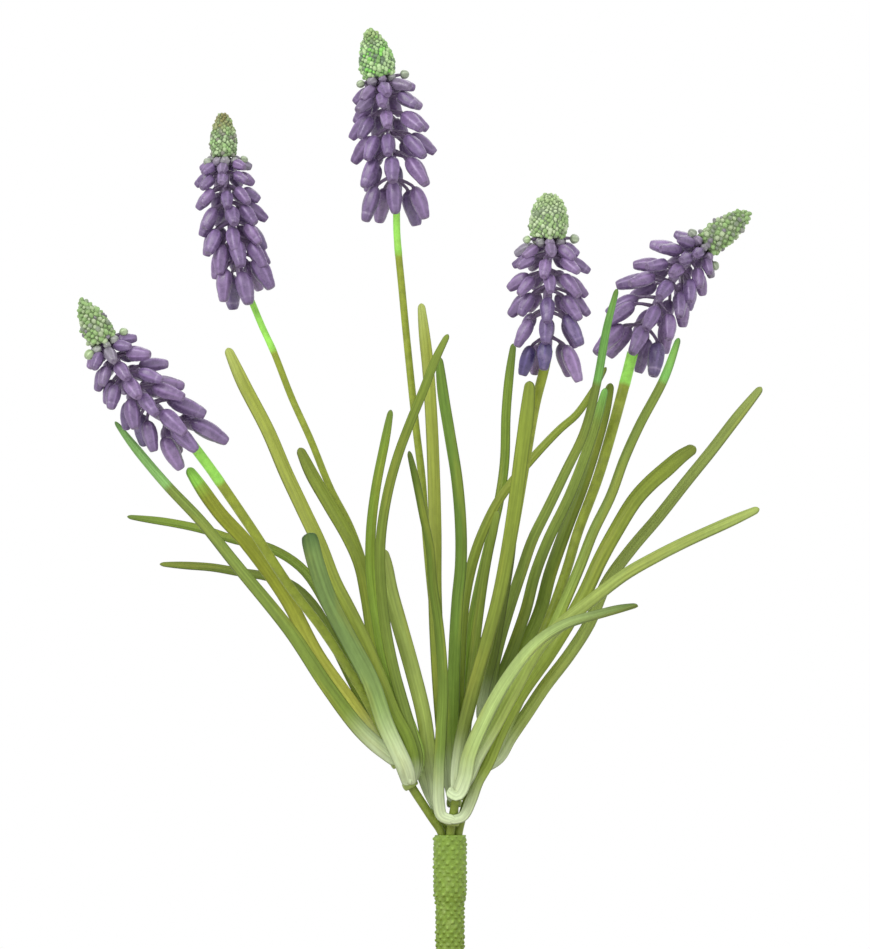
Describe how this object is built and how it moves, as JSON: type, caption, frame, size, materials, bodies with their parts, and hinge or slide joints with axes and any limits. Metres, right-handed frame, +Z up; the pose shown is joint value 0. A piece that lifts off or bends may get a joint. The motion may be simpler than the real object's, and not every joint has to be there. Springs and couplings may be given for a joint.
{
  "type": "artificial grape hyacinth in a pot",
  "caption": "Artificial grape hyacinth: purple beaded flower heads with green tips on lime stalks, among strap leaves on a knobbly sleeve stem, in a plain clay pot of soil.",
  "frame": {"origin": "centre of the pot's underside, in the plane that it rests on", "axes": "+Z up along the stem, -Y towards the front of the spray, +X to the right seen from the front"},
  "size_m": [0.1717, 0.11, 0.3175],
  "materials": {
    "clay": "unglazed terracotta, matt, faint turning marks",
    "potting_soil": "dark crumbly potting mix",
    "sleeve_green": "moulded, knobbly, satin",
    "stalk_green": "olive with a bright lime neck under each head, satin",
    "floret_purple": "moulded, purple, satin",
    "bud_green": "moulded, beaded, green with purple-grey hollows",
    "leaf_green": "moulded, finely ribbed, soft sheen, pale at the root"
  },
  "bodies": {
    "root": {"pot": "clay", "soil": "potting_soil", "main_stem": "sleeve_green", "stalk_front": "stalk_green", "stalk_left_high": "stalk_green", "stalk_left_low": "stalk_green", "stalk_middle": "stalk_green", "stalk_right": "stalk_green", "florets_front": "floret_purple", "florets_left_high": "floret_purple", "florets_left_low": "floret_purple", "florets_middle": "floret_purple", "florets_right": "floret_purple", "tip_front": "bud_green", "tip_left_high": "bud_green", "tip_left_low": "bud_green", "tip_middle": "bud_green", "tip_right": "bud_green", "leaf_tuft_left_front": "leaf_green", "leaf_tuft_left_outer": "leaf_green", "leaf_tuft_middle_back": "leaf_green", "leaf_tuft_middle_front": "leaf_green", "leaf_tuft_middle_left": "leaf_green", "leaf_tuft_right_back": "leaf_green", "leaf_tuft_right_front": "leaf_green", "leaf_tuft_right_outer": "leaf_green"}
  },
  "joints": []
}
